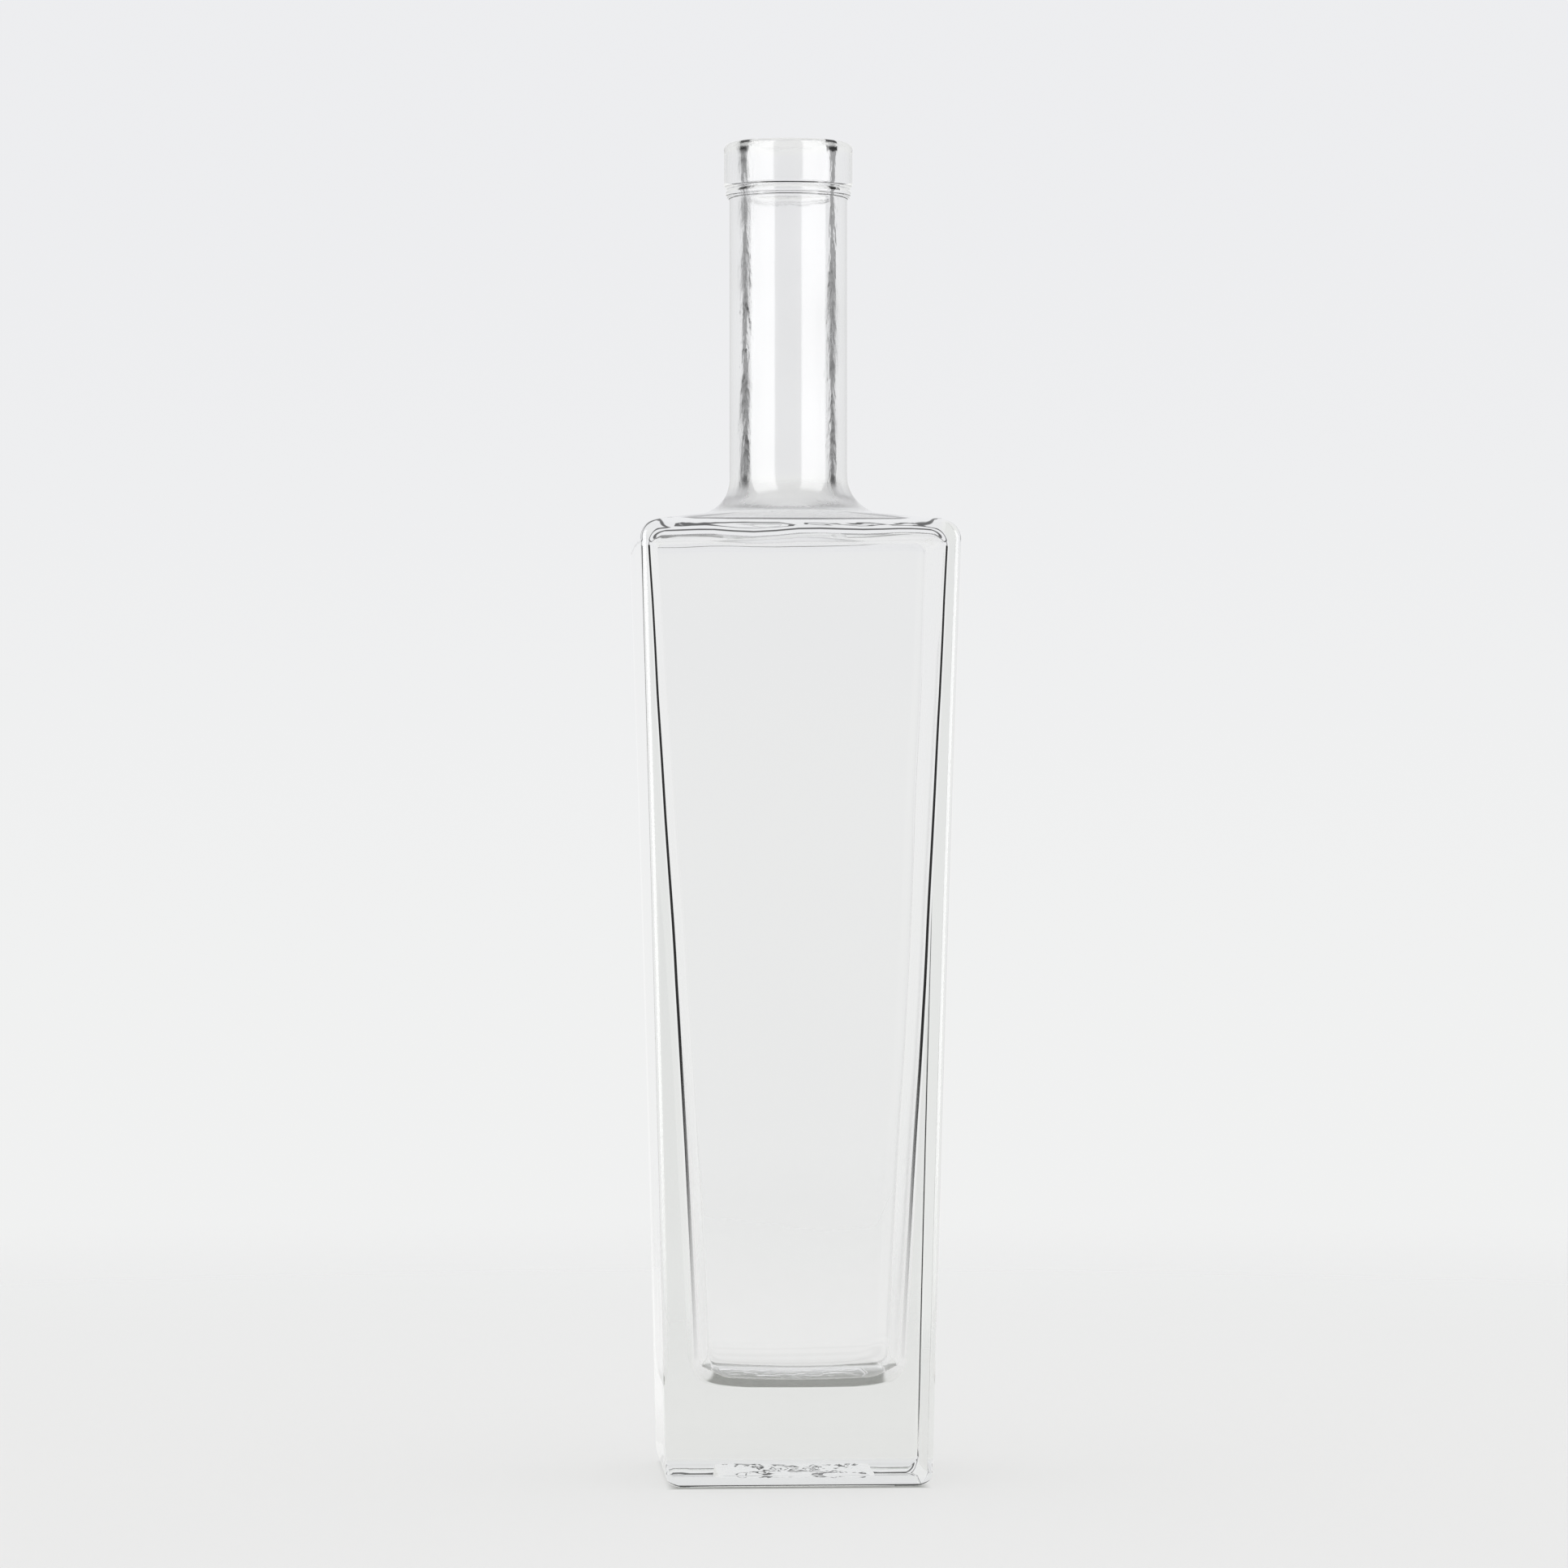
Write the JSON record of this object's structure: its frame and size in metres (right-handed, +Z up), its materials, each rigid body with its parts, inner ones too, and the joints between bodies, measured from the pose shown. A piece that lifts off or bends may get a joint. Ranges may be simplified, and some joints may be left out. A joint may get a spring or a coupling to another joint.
{
  "type": "liquor bottle",
  "caption": "Tall square tapered bottle of clear glass with a thick solid base, a shallow shoulder, a long round neck and an open ringed mouth for a stopper.",
  "frame": {"origin": "centre of the foot, on the surface that the bottle stands on", "axes": "+Z up along the neck, -Y towards the front face, +X to the right of it"},
  "size_m": [0.0742, 0.0742, 0.315],
  "materials": {
    "clear_glass": "clear flint glass, fire polished, with a faint green cast in the thick base"
  },
  "bodies": {
    "root": {"bottle": "clear_glass"}
  },
  "joints": []
}
